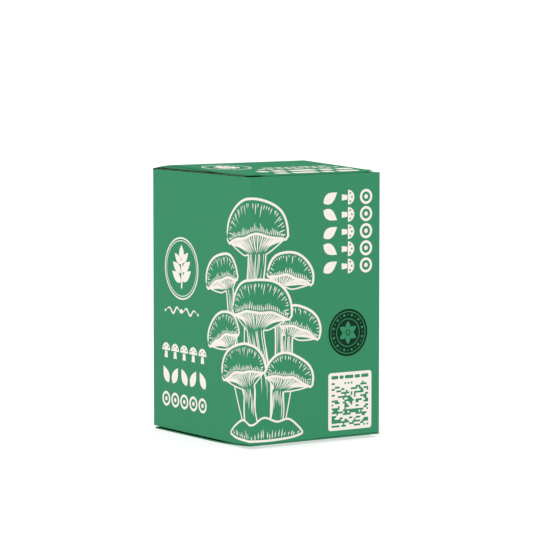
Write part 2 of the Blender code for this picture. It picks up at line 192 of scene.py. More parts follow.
def object_place(tree, output="Object"):
    """Where a point is on its object, or which way it faces if output is Normal."""
    return wire(tree, "TexCoord").outputs[output]


def clouds(tree, place, scale, detail, **values):
    return wire(tree, "TexNoise", Vector=place, Scale=scale, Detail=detail, **values).outputs["Fac"]


def stretched(tree, place, **values):
    return wire(tree, "Mapping", Vector=place, **values).outputs[0]


def maths(tree, operation, *values, clamp=False):
    node = wire(tree, "Math", {"operation": operation, "use_clamp": clamp})
    for socket, value in zip(node.inputs, values):
        plug(tree, socket, value)
    return node.outputs[0]


def multiply(tree, *values, clamp=False):
    return maths(tree, "MULTIPLY", *values, clamp=clamp)


def blend_colour(tree, factor, first, second, mode="MIX"):
    node = wire(tree, "Mix", {"data_type": "RGBA", "blend_type": mode}, _0=factor, _6=first, _7=second)
    return node.outputs[2]


def bump(tree, strength, distance, height):
    return wire(tree, "Bump", Strength=strength, Distance=distance, Height=height).outputs[0]


def coated_board_group():
    """Colour, roughness and relief of coated board: a faint mottle, the fibres under it, and scuffs."""
    outputs = ("Colour", "Roughness", "Normal")
    group, given, result = new_group(
        "Coated board", outputs, Colour=MID_GREY, Mottle=0.05, Fibre=0.2, Roughness=0.5, Scuff=0.0
    )
    place = object_place(group)
    fibre_place = stretched(group, place, Scale=(1.0, 1.0, 0.35))
    fibre = clouds(group, fibre_place, 1500.0, 3.0, Roughness=0.65, Distortion=0.4)
    orange_peel = clouds(group, place, 240.0, 2.0)
    scratches = clouds(group, stretched(group, place, Scale=(1.0, 1.0, 9.0)), 60.0, 6.0, Roughness=0.75)
    dull = maths(group, "SUBTRACT", clouds(group, place, 46.0, 4.0, Roughness=0.6), 0.5)
    shade = multiply(group, dull, given["Mottle"])
    grain = multiply(group, maths(group, "SUBTRACT", fibre, 0.5), multiply(group, given["Mottle"], 1.4))
    level = maths(group, "ADD", maths(group, "ADD", shade, grain), 1.0)
    tint = wire(group, "CombineColor", Red=level, Green=level, Blue=level).outputs[0]
    toned = blend_colour(group, 1.0, given["Colour"], tint, "MULTIPLY")
    rubbed = multiply(group, maths(group, "SUBTRACT", scratches, 0.42), 4.0, clamp=True)
    rubbed = multiply(group, rubbed, given["Scuff"])
    rough = maths(group, "ADD", given["Roughness"], multiply(group, dull, 0.16))
    plug_named(
        group,
        result,
        Colour=blend_colour(group, rubbed, toned, (0.72, 0.68, 0.58, 1.0)),
        Roughness=maths(group, "ADD", rough, multiply(group, rubbed, 0.25), clamp=True),
        Normal=bump(group, given["Fibre"], 0.12 * MM, maths(group, "ADD", multiply(group, fibre, 0.5), orange_peel)),
    )
    return group


def crease_wear_group():
    """A mask along the carton's upright creases."""
    group, given, result = new_group(
        "Crease wear", ("Wear",), Half_Width=HALF_WIDTH, Half_Depth=HALF_DEPTH, Reach=1.2 * MM
    )
    place = object_place(group)
    axis = wire(group, "SeparateXYZ", Vector=place).outputs
    across = maths(group, "SUBTRACT", given["Half Width"], maths(group, "ABSOLUTE", axis[0]))
    along = maths(group, "SUBTRACT", given["Half Depth"], maths(group, "ABSOLUTE", axis[1]))
    uneven = clouds(group, place, 170.0, 5.0, Roughness=0.7)
    reach = multiply(group, given["Reach"], multiply(group, uneven, 2.0))
    near = maths(group, "DIVIDE", maths(group, "MAXIMUM", across, along), reach)
    wear = maths(group, "SUBTRACT", 1.0, near, clamp=True)
    plug_named(group, result, Wear=multiply(group, wear, uneven))
    return group


def board_sides_group():
    """Tells the printed side of a folded panel from its bare side and its cut edges, by which way it faces."""
    group, given, result = new_group(
        "Board sides", ("Colour",), Printed_Way=(0.0, 0.0, 1.0), Printed=MID_GREY, Cut=MID_GREY, Bare=MID_GREY
    )
    facing = object_place(group, "Normal")
    dot = wire(group, "VectorMath", {"operation": "DOT_PRODUCT"}, _0=facing, _1=given["Printed Way"])
    dot = dot.outputs["Value"]
    shown = blend_colour(group, maths(group, "GREATER_THAN", dot, 0.6), given["Cut"], given["Printed"])
    shown = blend_colour(group, maths(group, "LESS_THAN", dot, -0.6), shown, given["Bare"])
    plug_named(group, result, Colour=shown)
    return group


def creased_film_group():
    """Colour, roughness and relief of crumpled film, and how far its creases cloud it."""
    outputs = ("Colour", "Roughness", "Normal", "Cloud")
    group, given, result = new_group(
        "Creased film", outputs, Stretch=(1.0, 1.0, 1.0), Deep=MID_GREY, Pale=(0.8, 0.8, 0.8, 1.0)
    )
    place = object_place(group)
    drawn_out = stretched(group, place, Rotation=(0.2, 0.1, 0.35), Scale=given["Stretch"])

    def creases(start, scale, width):
        """A mask of sharp crease lines, and the height of the facets between them."""
        warp = wire(group, "TexNoise", Vector=start, Scale=0.45 * scale, Detail=2.0).outputs["Color"]
        shift = (1.1 / scale,) * 3
        warped = wire(group, "VectorMath", {"operation": "MULTIPLY_ADD"}, _0=warp, _1=shift, _2=start)
        edges = {"feature": "DISTANCE_TO_EDGE"}
        facet = wire(group, "TexVoronoi", edges, Vector=warped.outputs[0], Scale=scale).outputs["Distance"]
        return maths(group, "SUBTRACT", 1.0, maths(group, "DIVIDE", facet, width), clamp=True), facet

    def spread(value, low, high):
        return wire(group, "MapRange", Value=value, _1=low, _2=high).outputs[0]

    long_line, long_facet = creases(drawn_out, 55.0, 0.022)
    short_line, short_facet = creases(place, 150.0, 0.05)
    mist = clouds(group, place, 48.0, 5.0, Roughness=0.65)
    crease = maths(group, "MAXIMUM", multiply(group, long_line, 0.36), multiply(group, short_line, 0.22))
    crease = multiply(group, crease, spread(clouds(group, place, 30.0, 2.0), 0.42, 0.62))
    body = spread(mist, 0.32, 0.68)
    shade = blend_colour(group, body, given["Deep"], given["Pale"])
    height = maths(group, "MULTIPLY_ADD", long_facet, 1.7, multiply(group, short_facet, 0.6))
    plug_named(
        group,
        result,
        Colour=blend_colour(group, crease, shade, (0.93, 0.94, 0.93, 1.0)),
        Roughness=maths(group, "MULTIPLY_ADD", mist, 0.22, 0.05),
        Normal=bump(group, 0.85, 3.0 * MM, height),
        Cloud=maths(group, "MULTIPLY_ADD", crease, 0.55, multiply(group, body, 0.16)),
    )
    return group


GROUPS = {
    "Coated board": coated_board_group,
    "Crease wear": crease_wear_group,
    "Board sides": board_sides_group,
    "Creased film": creased_film_group,
}


def use_group(tree, name, **values):
    """A node of the named group, which is made when it is first used."""
    node = wire(tree, "Group", {"node_tree": bpy.data.node_groups.get(name) or GROUPS[name]()})
    plug_named(tree, node, **values)
    return node


def new_material(name, **values):
    material = bpy.data.materials.new(name)
    material.use_nodes = True
    tree = material.node_tree
    shader = tree.nodes["Principled BSDF"]
    plug_named(tree, shader, **values)
    return material, tree, shader


def join_skin(tree, shader, colour, roughness, normal):
    plug_named(tree, shader, Base_Color=colour, Roughness=roughness, Normal=normal)


def board_material(name, colour, roughness, mottle=0.05, fibre=0.15, wear=None, gloss=0.2, tree_colour=None):
    """Board in one colour, or in what tree_colour makes. wear is how strongly the sleeve's creases are rubbed."""
    material, tree, shader = new_material(name, Specular_IOR_Level=gloss)
    tint = tree_colour(tree) if tree_colour else (*colour, 1.0)
    skin = use_group(tree, "Coated board", Colour=tint, Mottle=mottle, Fibre=fibre, Roughness=roughness)
    if wear is not None:
        plug_named(tree, skin, Scuff=multiply(tree, use_group(tree, "Crease wear").outputs["Wear"], wear))
    join_skin(tree, shader, *skin.outputs[:3])
    return material


def print_materials(wear=None, gloss=0.05):
    """Bare board, cut edge and the three inks, in the order of their numbers."""
    colours = bpy.context.scene.kit_colours
    return [
        board_material("Bare board", colours.bare, 0.85, mottle=0.22, fibre=0.5),
        board_material("Cut edge", colours.edge, 0.75, mottle=0.12, fibre=0.4),
        board_material("Green print", colours.green, 0.65, mottle=0.045, wear=wear, gloss=gloss),
        board_material("Cream print", colours.cream, 0.52, mottle=0.03, wear=wear, gloss=gloss),
        board_material("Dark green print", colours.dark, 0.46, mottle=0.06, wear=wear, gloss=gloss),
    ]


def folded_panel_material(name, printed_way):
    """Board that is green on the side that faces printed_way.

    A panel printed underneath has its unprinted upper side painted dark green, a painted shade for the dark gap
    under the walls. A top flap is painted darker where it bends over the side wall: the darker cut-edge green over
    the bend, and the dark green below 1 mm over the wall's top, both painted shade under the lid's edge. It is bare
    inside the bend.
    """
    colours = bpy.context.scene.kit_colours
    green, edge, dark, bare = ((*ink, 1.0) for ink in (colours.green, colours.edge, colours.dark, colours.bare))
    # A panel printed underneath: its upper side is painted dark green, a painted shade in the gap under the walls.
    if printed_way[2] < 0:
        bare = dark

    def tint(tree):
        shown = use_group(tree, "Board sides", Printed_Way=printed_way, Printed=green, Cut=edge, Bare=bare)
        shown = shown.outputs["Colour"]
        if printed_way[2] <= 0:
            return shown
        axis = wire(tree, "SeparateXYZ", Vector=object_place(tree)).outputs
        way = wire(tree, "SeparateXYZ", Vector=object_place(tree, "Normal")).outputs
        # Painted shade at a top flap's crease: cut-edge green over the bend, dark green below 1 mm over the wall's
        # top.
        crease = maths(tree, "GREATER_THAN", maths(tree, "ABSOLUTE", axis[0]), HALF_WIDTH - 2.0 * MM)
        low = maths(tree, "LESS_THAN", axis[2], WALLS_TOP + 1.0 * MM)
        outward = multiply(tree, way[0], maths(tree, "SIGN", axis[0]))
        inner = maths(tree, "LESS_THAN", maths(tree, "MINIMUM", outward, way[2]), -0.5)
        shown = blend_colour(tree, crease, shown, edge)
        shown = blend_colour(tree, multiply(tree, crease, low), shown, dark)
        return blend_colour(tree, multiply(tree, crease, inner), shown, bare)

    return board_material(name, None, 0.55, mottle=0.05, fibre=0.18, gloss=0.12, tree_colour=tint)


# ---------------------------------------------------------------- drawing the artwork


def catmull_rom(a, b, c, d, t):
    square = (2 * a - 5 * b + 4 * c - d) * t * t
    return 0.5 * (2 * b + (c - a) * t + square + (3 * b - a - 3 * c + d) * t**3)


def smooth_line(points, steps=8):
    """A smooth line through the points."""
    if steps < 2:
        return [tuple(p) for p in points]
    ends = [points[0]] + list(points) + [points[-1]]
    line = []
    for spots in zip(ends, ends[1:], ends[2:], ends[3:]):
        for step in range(steps):
            t = step / steps
            line.append(tuple(catmull_rom(*axis, t) for axis in zip(*spots)))
    line.append(tuple(points[-1]))
    return line


def sideways(line, index):
    """The unit step to the left of a line, at one of its points."""
    a = line[max(index - 1, 0)]
    b = line[min(index + 1, len(line) - 1)]
    size = hypot(b[0] - a[0], b[1] - a[1]) or 1.0
    return (a[1] - b[1]) / size, (b[0] - a[0]) / size


def between(a, b, t):
    return (a[0] + (b[0] - a[0]) * t, a[1] + (b[1] - a[1]) * t)


def around(centre, radius, angle):
    """The point on a circle at an angle."""
    return (centre[0] + radius * cos(angle), centre[1] + radius * sin(angle))


def disc(centre, radius, steps):
    return [around(centre, radius, 2 * pi * i / steps) for i in range(steps)]


class Artwork:
    """Flat shapes in millimetres, each with its ink. A later one covers those before it."""

    def __init__(self):
        self.shapes = []

    def fill(self, outline, ink=CREAM):
        self.shapes.append((outline, ink))

    def pen(self, points, width, ink=CREAM, start=0.15, end=0.15, steps=6):
        """A pen line that thins over its first and last parts."""
        line = smooth_line(points, steps)
        left, right = [], []
        for index, (x, y) in enumerate(line):
            t = index / (len(line) - 1)
            swell = min(t / start if start else 1.0, (1 - t) / end if end else 1.0, 1.0)
            half = width / 2 * max(swell * (2 - swell), 0.06)
            dx, dy = sideways(line, index)
            left.append((x + dx * half, y + dy * half))
            right.append((x - dx * half, y - dy * half))
        self.fill(left + right[::-1], ink)

    def contour(self, line, width, taper=0.05):
        self.pen(line, width, start=taper, end=taper, steps=1)

    def stroke(self, points, width, start=0.05, end=0.8, steps=1):
        """A fine line that thins out towards its end."""
        self.pen(points, width, start=start, end=end, steps=steps)

    def hoop(self, centre, radius, width, ink=CREAM, inside=GREEN):
        self.fill(disc(centre, radius, 56), ink)
        self.fill(disc(centre, radius - width, 56), inside)

    def leaf(self, base, tip, width, ink=CREAM, vein=GREEN):
        dx, dy = tip[0] - base[0], tip[1] - base[1]
        size = hypot(dx, dy)
        sides = []
        for sign in (1, -1):
            edge = []
            for t in (i / 8 for i in range(1, 8)):
                x, y = between(base, tip, t)
                reach = sign * width / 2 * sin(pi * t**0.8)
                edge.append((x - dy / size * reach, y + dx / size * reach))
            sides.append(edge)
        self.fill([base] + sides[1] + [tip] + sides[0][::-1], ink)
        if vein is not None:
            self.pen([between(base, tip, 0.08), between(base, tip, 0.8)], width * 0.1, vein, 0.02, 0.6, 1)

    def repeated(self, shift):
        """The same shapes again, further round the carton."""
        for outline, ink in list(self.shapes):
            self.fill([(u + shift, z) for u, z in outline], ink)


def pen_widths():
    sizes = bpy.context.scene.kit_artwork
    return sizes.outline / MM, sizes.hatch / MM


def draw_mushroom(art, cap, foot, width, height, turn, lean, stem, seed):
    """An oyster mushroom from the side.

    cap is the middle of the cap's margin and foot is the stem's end. lean is how far from the middle the stem
    joins the cap, in half widths.
    """
    outline, hatch = pen_widths()
    vary = Random(seed).uniform
    c, s = cos(radians(turn)), sin(radians(turn))
    half, depth, droop = width / 2, 0.34 * width, 0.30 * height
    join = lean * half

    def place(x, y):
        return (cap[0] + x * c - y * s, cap[1] + x * s + y * c)

    def rim_height(t):
        return -droop * (abs(t) ** 1.7) - 0.10 * height + 0.05 * height * sin(7.3 * t + seed) * (1 - t * t)

    def dome_point(a, size=1.0):
        x = half * cos(a) + 0.35 * join * sin(a) ** 2
        y = (height + droop) * sin(a) ** 0.80 - droop
        lump = 0.035 * height * sin(4 * a + seed) * sin(a)
        return place(x * (0.3 + 0.7 * size), (y + lump) * size - (1 - size) * droop)

    dome = [dome_point(pi * (1 - i / 26)) for i in range(27)]
    margin = [place(half * (1 - i / 14), rim_height(1 - i / 14) - 0.06 * height) for i in range(1, 28)]

    neck = place(join, -depth)
    bow = 0.05 * (foot[1] - neck[1]) * (1 if turn > 0 else -1)
    middle = ((neck[0] + foot[0]) / 2 + bow, (neck[1] + foot[1]) / 2)
    spine = smooth_line([place(0.8 * join, -0.45 * depth), neck, middle, foot], 8)
    last = len(spine) - 1
    left, right = [], []
    for i, (x, y) in enumerate(spine):
        t = i / last
        reach = stem / 2 * (1.0 + 0.35 * (1 - t) ** 2 + 0.40 * t * t)
        dx, dy = sideways(spine, i)
        left.append((x - dx * reach, y - dy * reach))
        right.append((x + dx * reach, y + dy * reach))
    if left[6][0] > right[6][0]:
        left, right = right, left
    art.fill(left + right[::-1], GREEN)
    art.pen(left[4:], 0.68 * outline, start=0.05, end=0.1, steps=1)
    art.pen(right[4:], 0.53 * outline, start=0.05, end=0.1, steps=1)
    strands = max(int(stem / 0.95), 8)
    for i in range(strands):
        across = (i + 0.6) / (strands + 0.2)
        first = vary(0.22, 0.5)
        ending = min(first + vary(0.16, 0.45), 0.97)
        rows = range(int(first * last), int(ending * last) + 1)
        if len(rows) > 2:
            line = [between(left[row], right[row], across) for row in rows]
            art.stroke(line, vary(0.75, 1.2) * hatch, 0.4, 0.5)

    rim = [dome[-1]] + margin + [dome[0]]

    def shoulder(side):
        """Two points from the cap's margin in towards the stem."""
        outer = place(side * 0.66 * half + 0.2 * join, -droop - 0.30 * depth)
        return [outer, place(side * 0.36 * half + 0.55 * join, -droop - 0.52 * depth)]

    in_left = [rim[-1], *shoulder(-1), left[7]]
    in_right = [right[7], *shoulder(1)[::-1], rim[0]]
    art.fill(rim + smooth_line(in_left, 6) + smooth_line(in_right, 6), GREEN)
    art.pen(in_left, 0.55 * outline, start=0.1, end=0.05)
    art.pen(in_right, 0.55 * outline, start=0.05, end=0.1)
    gills = max(int(width / 2.2), 12)
    for i in range(1, gills):
        t = i / gills
        along = (1 - t) * (len(rim) - 1)
        start = between(rim[int(along)], rim[min(int(along) + 1, len(rim) - 1)], along % 1)
        bend = place((2 * t - 1) * half * 0.50 + 0.45 * join, -0.7 * droop - 0.36 * depth)
        line = smooth_line([start, bend, between(left[7], right[7], t)], 7)
        reach = vary(0.78, 1.0) if i % 2 else vary(0.40, 0.65)
        line = line[: max(int(len(line) * reach), 4)]
        art.stroke(line, (1.7 if i % 2 else 1.2) * hatch, 0.02)

    art.fill(dome + margin, GREEN)
    art.contour(dome + margin + dome[:2], outline, 0.03)
    count = int(width / 1.9)
    for i in range(count):
        a = pi * (1 - (i + 0.5) / count + vary(-0.012, 0.012))
        inner = vary(0.55, 0.80) if i % 2 else vary(0.72, 0.84)
        line = [dome_point(a, 0.90 + (inner - 0.90) * step / 4) for step in range(5)]
        art.stroke(line, 1.15 * hatch)
    count = int(width / 2.0)
    for i in range(count):
        t = 0.9 * ((2 * i + 1) / count - 1)
        low = rim_height(t)
        length = height * vary(0.14, 0.34) * (1 - 0.45 * t * t)
        line = [place(half * t, low + 0.3), place(0.985 * half * t, low + 0.6 * length)]
        line.append(place(0.95 * half * t, low + length))
        art.stroke(line, 1.1 * hatch, steps=3)


def draw_mound(art, low, high, seed):
    """The lump of substrate that the stems grow from."""
    outline, hatch = pen_widths()
    vary = Random(seed).uniform
    width, height = high[0] - low[0], high[1] - low[1]
    top = [(0, 0.25), (0.1, 0.62), (0.24, 0.9), (0.38, 0.72), (0.52, 1.0), (0.68, 0.78), (0.82, 0.86)]
    top += [(0.94, 0.5), (1, 0.2)]
    foot = [(1, 0.2), (0.86, 0.06), (0.6, 0.0), (0.35, 0.03), (0.12, 0.08), (0, 0.25)]
    top, foot = (
        smooth_line([(low[0] + a * width, low[1] + b * height) for a, b in line], 5) for line in (top, foot)
    )
    art.fill(top + foot[1:-1], GREEN)
    art.contour(top, 0.8 * outline)
    art.contour(foot, 0.9 * outline, 0.03)
    strokes = 24
    for i in range(strokes):
        t = (i + 0.5 + vary(-0.25, 0.25)) / strokes
        x = low[0] + width * (0.06 + 0.88 * t)
        floor = low[1] + height * (vary(0.05, 0.12) + 0.14 * abs(2 * t - 1) ** 3)
        rise = height * vary(0.2, 0.5) * (1 - 0.75 * abs(2 * t - 1) ** 3)
        lean = (x - low[0] - width / 2) * 0.06
        line = [(x, floor), (x + 0.4 * lean, floor + rise / 2), (x + lean, floor + rise)]
        art.stroke(line, 1.3 * hatch, 0.1, steps=2)


def draw_cluster(art):
    """The cluster of oyster mushrooms that wraps the front left crease."""
    for cap, foot, width, height, turn, lean, stem, seed in (
        ((37, 130), (20, 22), 42, 15, -12, -0.40, 8, 3),
        ((-38, 127), (-4, 24), 44, 16, 14, 0.40, 8, 5),
        ((2, 163), (8, 20), 64, 23, 3, 0.10, 13, 7),
        ((46, 90), (26, 18), 38, 14, -20, -0.45, 8, 11),
        ((-36, 84), (-2, 18), 44, 15, 18, 0.45, 8, 13),
        ((8, 106), (10, 16), 60, 21, -4, -0.05, 12, 17),
        ((36, 54), (22, 12), 44, 15, -14, -0.35, 9, 19),
        ((-12, 60), (2, 12), 52, 18, 10, 0.30, 10, 23),
    ):
        draw_mushroom(art, cap, foot, width, height, turn, lean, stem, seed)
    draw_mound(art, (-26, 5.5), (48, 23), 5)


def draw_emblem(art, centre, size):
    """A sprig of leaves in a ring."""
    radius = size / 2
    art.hoop(centre, radius, 0.05 * radius)
    art.hoop(centre, 0.90 * radius, 0.025 * radius)
    x, y = centre
    stalk = [(x, y - 0.66 * radius), (x + 0.03 * radius, y - 0.2 * radius), (x, y + 0.3 * radius)]
    art.pen(stalk, 0.08 * radius, start=0.02)
    for rise, reach, width in ((-0.42, 0.56, 0.30), (-0.12, 0.52, 0.28), (0.16, 0.40, 0.23)):
        for side in (-1, 1):
            base = (x + side * 0.03 * radius, y + (rise + 0.02 * side) * radius)
            tip = (x + side * reach * radius, y + (rise + 0.34 + 0.03 * side) * radius)
            art.leaf(base, tip, width * radius)
    art.leaf((x, y + 0.28 * radius), (x, y + 0.76 * radius), 0.28 * radius)


def draw_flourish(art, centre, width):
    x, y = centre
    for side in (-1, 1):
        wave = ((0.14, 0), (0.32, 2.6), (0.55, -2.4), (0.78, 1.8), (1.0, -0.4))
        art.pen([(x + side * f * width / 2, y + h) for f, h in wave], 1.6, start=0.3, end=0.5)
        art.fill(disc((x + side * width * 0.53, y - 0.8), 1.1, 14))
    art.leaf((x - 3.4, y), (x + 3.4, y), 3.4, vein=None)


def draw_band(art, start, length, height, kind, upright=False):
    """A run of bold ornament. It goes right from start, or down from it if upright."""
    count = max(round(length / height), 1)
    pitch = length / count

    def place(along, across):
        if upright:
            return (start[0] + across, start[1] - along)
        return (start[0] + along, start[1] + across)

    for i in range(count):
        middle = (i + 0.5) * pitch
        centre = place(middle, height / 2)
        if kind == "rings":
            art.hoop(centre, 0.44 * height, 0.15 * height)
            art.fill(disc(centre, 0.13 * height, 18))
        elif kind == "leaves":
            lean = 0.30 * height if i % 2 else -0.30 * height
            low, high = place(middle - lean, 0.02 * height), place(middle + lean, 0.98 * height)
            art.leaf(low, high, 0.62 * height)
        else:
            dome = [(0.43 * cos(pi * k / 14), 0.45 * sin(pi * k / 14) - 0.02) for k in range(15)]
            foot = [(-0.13, -0.06), (-0.18, -0.46), (0.18, -0.46), (0.13, -0.06)]
            for shape in (dome, foot):
                art.fill([place(middle + a * height, (0.5 + b) * height) for a, b in shape])
            for across, up in ((-0.24, 0.14), (0.0, 0.26), (0.24, 0.14)):
                spot = place(middle + across * height, (0.5 + up) * height)
                art.fill(disc(spot, 0.06 * height, 12), GREEN)


def draw_seal(art, centre, size):
    """A dark disc with a ring of dots round a flower."""
    radius = size / 2
    art.fill(disc(centre, radius, 64), DARK)
    art.hoop(centre, 0.90 * radius, 0.035 * radius, GREEN, DARK)
    art.hoop(centre, 0.60 * radius, 0.035 * radius, GREEN, DARK)
    dots, petals = 24, 6
    for i in range(dots):
        dot = (0.055 if i % 2 else 0.03) * radius
        art.fill(disc(around(centre, 0.75 * radius, 2 * pi * i / dots), dot, 12), GREEN)
    for i in range(petals):
        a = 2 * pi * (i + 0.5) / petals
        art.leaf(around(centre, 0.09 * radius, a), around(centre, 0.49 * radius, a), 0.26 * radius, GREEN, DARK)
    art.fill(disc(centre, 0.08 * radius, 16), GREEN)


def rounded_box(low, high, radius, steps=5):
    left, right, bottom, top = low[0] + radius, high[0] - radius, low[1] + radius, high[1] - radius
    corners = ((right, top), (left, top), (left, bottom), (right, bottom))
    return [
        around(corner, radius, radians(90 * quarter + 90 * i / steps))
        for quarter, corner in enumerate(corners)
        for i in range(steps + 1)
    ]


def draw_label(art, low, width, height):
    """A cream panel with a row of dashes over a mosaic of squares."""
    random = Random(12)
    art.fill(rounded_box(low, (low[0] + width, low[1] + height), 2.2))
    x = low[0] + 0.07 * width
    for length in (0.16, 0.09, 0.20, 0.12, 0.17):
        bar = ((x, low[1] + height - 4.9), (x + length * width, low[1] + height - 2.3))
        art.fill(rounded_box(*bar, 0.8, 3), GREEN)
        x += (length + 0.03) * width
    margin, foot = 3.0, 2.4
    cells = 23
    cell = (width - 2 * margin) / cells
    for row in range(cells):
        column = 0
        while column < cells:
            run = min(random.choice((1, 1, 2, 3)), cells - column)
            if random.random() < 0.5:
                left, bottom = low[0] + margin + column * cell, low[1] + foot + row * cell
                right, top = left + run * cell, bottom + cell
                art.fill([(left, bottom), (right, bottom), (right, top), (left, top)], GREEN)
            column += run


def wall_artwork(half_way_round):
    """Everything on the walls. Across is measured round the carton from the front left crease."""
    sizes = bpy.context.scene.kit_artwork
    band = sizes.band / MM
    art = Artwork()
    draw_emblem(art, (-94, 128), sizes.emblem / MM)
    draw_flourish(art, (-94, 95), 44)
    for z, kind in ((57, "caps"), (38, "leaves"), (19, "rings")):
        draw_band(art, (-123, z), 5 * band, band, kind)
    draw_cluster(art)
    for u, kind in ((99, "rings"), (82.5, "caps"), (66, "leaves")):
        draw_band(art, (u, 191), 5 * band, band, kind, True)
    art.repeated(half_way_round)
    draw_seal(art, (89, 82), sizes.seal / MM)
    width, height = (side / MM for side in sizes.label)
    draw_label(art, (71, 8), width, height)
    seam = 2 * half_way_round - 2 * HALF_DEPTH / MM - 1.0
    cut, foot, head = seam - 0.35, 2, 204
    art.fill([(cut, foot), (seam, foot), (seam, head), (cut, head)], EDGE)
    return art


def lid_artwork():
    """Rows of dashes and a leaf emblem on the lid."""
    art = Artwork()
    random = Random(8)
    for y, height, first, last in ((-57, 9, -26, 52), (-42, 9, -32, 52), (-25, 4, -22, 50), (-16, 4, -12, 46)):
        x = first
        while x < last:
            length = random.uniform(0.9, 2.6) * height
            art.fill(rounded_box((x, y), (min(x + length, last + 2), y + height), 0.28 * height, 4))
            x += length + 0.45 * height
    draw_emblem(art, (-34, 2), 0.8 * bpy.context.scene.kit_artwork.emblem / MM)
    return art


# ---------------------------------------------------------------- putting the artwork on the board


def inside_outline(point, outline):
    x, y = point
    found = False
    for (x1, y1), (x2, y2) in zip(outline, outline[1:] + outline[:1]):
        if (y1 > y) != (y2 > y) and x < x1 + (y - y1) / (y2 - y1) * (x2 - x1):
            found = not found
    return found


def divide_by_artwork(facets, art):
    """Divides flat triangles along the artwork's outlines.

    facets are triangles in millimetres. It returns the points, and for each new triangle its three points,
    the facet that it comes from, and its ink.
    """
    points, edges, faces = [], [], []
    known = {}

    def number_of(point):
        key = (round(point[0], 4), round(point[1], 4))
        if key not in known:
            known[key] = len(points)
            points.append(Vector(key))
        return known[key]

    for facet in facets:
        faces.append([number_of(p) for p in facet])
    for outline, _ in art.shapes:
        loop = [number_of(p) for p in outline]
        edges += [(a, b) for a, b in zip(loop, loop[1:] + loop[:1]) if a != b]
    found = delaunay_2d_cdt(points, edges, faces, 0, 1e-4)
    points, triangles, sources = found[0], found[2], found[5]
    bounds = []
    for outline, ink in art.shapes:
        xs, ys = zip(*outline)
        bounds.append((min(xs), max(xs), min(ys), max(ys), outline, ink))
    divided = []
    for triangle, source in zip(triangles, sources):
        if not source or len(triangle) != 3:
            continue
        a, b, c = (points[i] for i in triangle)
        middle = (a + b + c) / 3
        ink = GREEN
        for low_x, high_x, low_y, high_y, outline, colour in reversed(bounds):
            if low_x < middle.x < high_x and low_y < middle.y < high_y and inside_outline(middle, outline):
                ink = colour
                break
        divided.append((triangle, source[0], ink))
    return points, divided


def board_shape(node):
    """A board node's mesh with its doubled points joined."""
    shape = bmesh.new()
    shape.from_mesh(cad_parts[node].data)
    bmesh.ops.remove_doubles(shape, verts=shape.verts, dist=1e-6)
    return shape


def on_map(u, v, corner, width):
    """A point in millimetres, moved by corner, on a map that is so many millimetres wide."""
    scale = 1 / width
    return ((u + corner[0]) * scale, (v + corner[1]) * scale)


def printed_board(name, node, is_printed, flatten, art, place_on_map):
    """A copy of a board node with its printed faces divided along the artwork, each face in its own ink."""
    shape = board_shape(node)
    bmesh.ops.triangulate(shape, faces=shape.faces)
    shape.normal_update()
    printed = [face for face in shape.faces if is_printed(face)]
    solid = [[vert.co.copy() for vert in face.verts] for face in printed]
    flat = [flatten(face) for face in printed]
    for face in shape.faces:
        face.material_index = EDGE if abs(face.normal.z) > 0.7 and node == "carton_sleeve" else BARE
    bmesh.ops.delete(shape, geom=printed, context="FACES")

    points, divided = divide_by_artwork(flat, art)
    made = {}
    for corners, source, _ in divided:
        flat_corners = [Vector((*p, 0.0)) for p in flat[source]]
        for corner in corners:
            if corner not in made:
                at = Vector((*points[corner], 0.0))
                made[corner] = shape.verts.new(barycentric_transform(at, *flat_corners, *solid[source]))
    layer = shape.loops.layers.uv.new(PRINT_MAP)
    for face in shape.faces:
        for loop in face.loops:
            loop[layer].uv = place_on_map(face, loop.vert.co, None)
    for corners, _, ink in divided:
        try:
            face = shape.faces.new([made[corner] for corner in corners])
        except ValueError:
            continue
        face.material_index = ink
        for loop, corner in zip(face.loops, corners):
            loop[layer].uv = place_on_map(face, None, points[corner])
    bmesh.ops.remove_doubles(shape, verts=shape.verts, dist=2e-6)
    mesh = bpy.data.meshes.new(name)
    shape.to_mesh(mesh)
    shape.free()
    piece = bpy.data.objects.new(name, mesh)
    bpy.context.scene.collection.objects.link(piece)
    return piece


